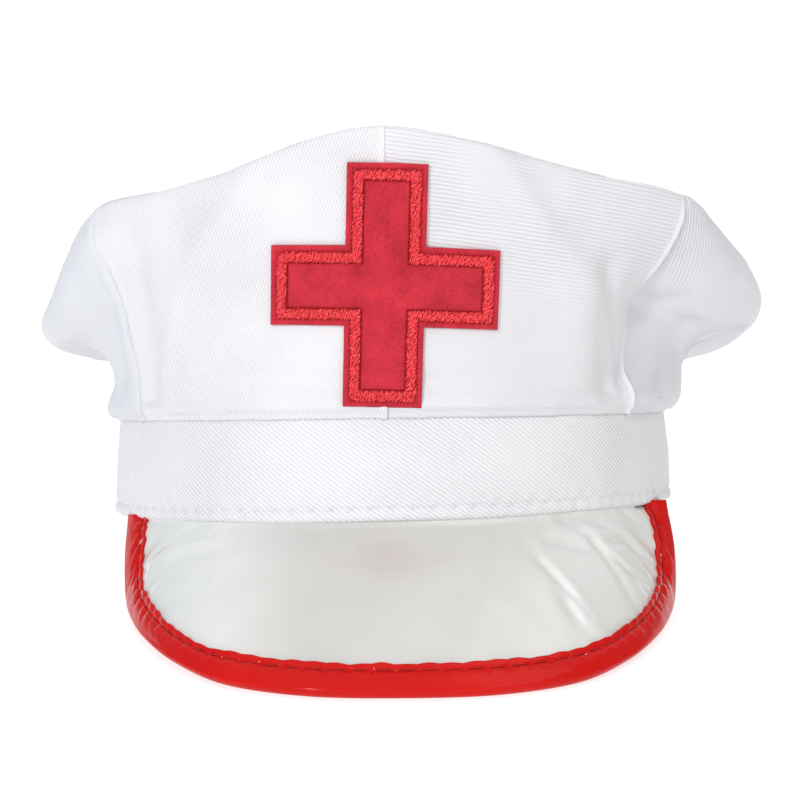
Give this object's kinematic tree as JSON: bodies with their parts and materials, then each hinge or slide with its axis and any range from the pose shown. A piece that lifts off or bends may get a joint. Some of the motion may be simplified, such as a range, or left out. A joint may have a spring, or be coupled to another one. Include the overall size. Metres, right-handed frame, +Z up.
{
  "type": "nurse cap",
  "caption": "Nurse's peaked costume cap: soft white twill crown on an upright band, white vinyl peak with a red binding, and a red cross patch on the front.",
  "frame": {"origin": "centre of the bounding box on the surface that the cap rests on", "axes": "+Z up, front of the cap towards -Y, +X to the right as seen from the front"},
  "size_m": [0.2446, 0.2768, 0.1473],
  "materials": {
    "white_twill": "white satin twill with a fine diagonal rib",
    "white_vinyl": "glossy white vinyl sheet, softly wrinkled",
    "red_patent": "glossy red patent vinyl",
    "red_felt": "red felt",
    "red_thread": "red satin-stitch embroidery thread"
  },
  "bodies": {
    "root": {"headband": "white_twill", "crown_front_left": "white_twill", "crown_front_right": "white_twill", "crown_side_left": "white_twill", "crown_side_right": "white_twill", "crown_back": "white_twill", "crown_top": "white_twill", "peak": "white_vinyl", "peak_binding": "red_patent", "cross_patch": "red_felt", "cross_border": "red_thread"}
  },
  "joints": []
}
